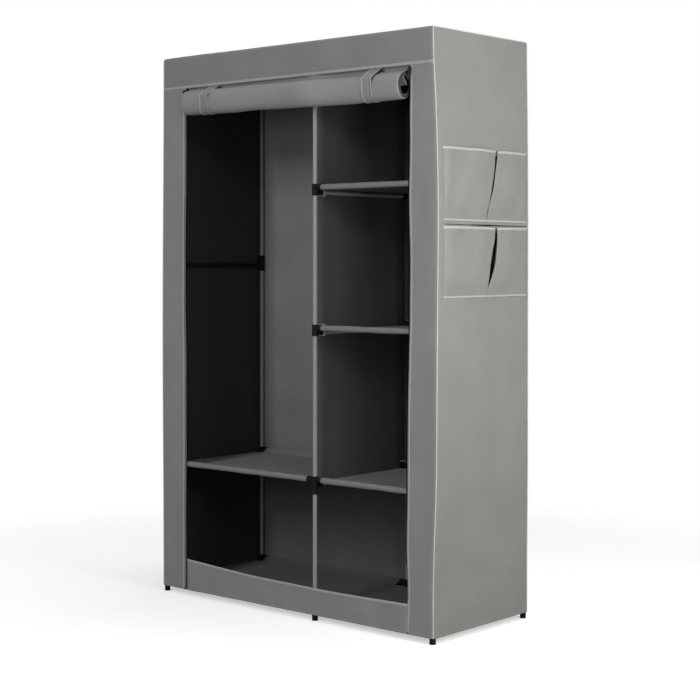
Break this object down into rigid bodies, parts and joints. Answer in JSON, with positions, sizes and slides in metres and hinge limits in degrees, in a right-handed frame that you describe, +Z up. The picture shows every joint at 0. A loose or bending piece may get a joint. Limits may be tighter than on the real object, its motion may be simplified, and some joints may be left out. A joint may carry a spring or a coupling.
{
  "type": "portable fabric wardrobe",
  "caption": "Free-standing tube frame with cloth shelves and hanging bay under a cloth cover with a roll-up front door, zips and side pockets.",
  "frame": {"origin": "on the floor, under the centre of the part's bounding box", "axes": "+X to the right as seen from the front, +Y to the back, +Z up; the open front with the rolled door faces -Y"},
  "size_m": [1.1086, 0.5154, 1.7],
  "materials": {
    "connectors": "satin black moulded plastic",
    "tubes": "grey powder coat on thin steel tube",
    "shelf_cloth": "grey non-woven cloth, bonded dot texture",
    "cover_cloth": "grey non-woven cloth with light grey edge binding",
    "zip_metal": "dark enamelled zinc"
  },
  "bodies": {
    "wardrobe": {"rung_left_bottom": "connectors", "rung_left_main": "connectors", "rung_left_side": "connectors", "rung_left_top": "connectors", "rung_middle_bottom": "connectors", "rung_middle_main": "connectors", "rung_middle_middle": "connectors", "rung_middle_upper": "connectors", "rung_middle_top": "connectors", "rung_right_bottom": "connectors", "rung_right_main": "connectors", "rung_right_middle": "connectors", "rung_right_upper": "connectors", "rung_right_top": "connectors", "post_front_left": "tubes", "post_front_middle": "tubes", "post_front_right": "tubes", "post_back_left": "tubes", "post_back_middle": "tubes", "post_back_right": "tubes", "cross_bottom_front_left": "tubes", "cross_bottom_front_right": "tubes", "cross_bottom_back_left": "tubes", "cross_bottom_back_right": "tubes", "cross_main_front_left": "tubes", "cross_main_front_right": "tubes", "cross_main_back_left": "tubes", "cross_main_back_right": "tubes", "cross_middle_front_right": "tubes", "cross_middle_back_right": "tubes", "cross_upper_front_right": "tubes", "cross_upper_back_right": "tubes", "cross_top_front_left": "tubes", "cross_top_front_right": "tubes", "cross_top_back_left": "tubes", "cross_top_back_right": "tubes", "hanging_rail": "tubes", "floor": "shelf_cloth", "shelf_main": "shelf_cloth", "shelf_middle": "shelf_cloth", "shelf_upper": "shelf_cloth", "divider": "shelf_cloth", "cover_top": "cover_cloth", "cover_left": "cover_cloth", "cover_right": "cover_cloth", "cover_back": "cover_cloth", "header": "cover_cloth", "jamb_left": "cover_cloth", "jamb_right": "cover_cloth", "skirt": "cover_cloth", "door_sheet": "cover_cloth", "tie_left": "cover_cloth", "tie_right": "cover_cloth", "pocket_row_upper": "cover_cloth", "pocket_row_lower": "cover_cloth"},
    "door": {"door_roll": "cover_cloth"},
    "slider_left": {"zip_slider_left": "zip_metal"},
    "slider_right": {"zip_slider_right": "zip_metal"},
    "pull_left": {"zip_pull_left": "zip_metal"},
    "pull_right": {"zip_pull_right": "zip_metal"}
  },
  "joints": [
    {"name": "door_drop", "type": "slide", "parent": "wardrobe", "child": "door", "axis": [0, 0, -1], "range_m": [0, 1.39], "deforming": ["door_sheet", "tie_left", "tie_right"]},
    {"name": "zip_left_run", "type": "slide", "parent": "wardrobe", "child": "slider_left", "axis": [0, 0, -1], "range_m": [0, 1.46]},
    {"name": "zip_right_run", "type": "slide", "parent": "wardrobe", "child": "slider_right", "axis": [0, 0, -1], "range_m": [0, 1.46]},
    {"name": "pull_left_swing", "type": "hinge", "parent": "slider_left", "child": "pull_left", "pos_m": [-0.45025, -0.19912, 1.586], "axis": [-1, 0, 0], "range_deg": [0, 150]},
    {"name": "pull_right_swing", "type": "hinge", "parent": "slider_right", "child": "pull_right", "pos_m": [0.46475, -0.19912, 1.586], "axis": [-1, 0, 0], "range_deg": [0, 150]}
  ]
}
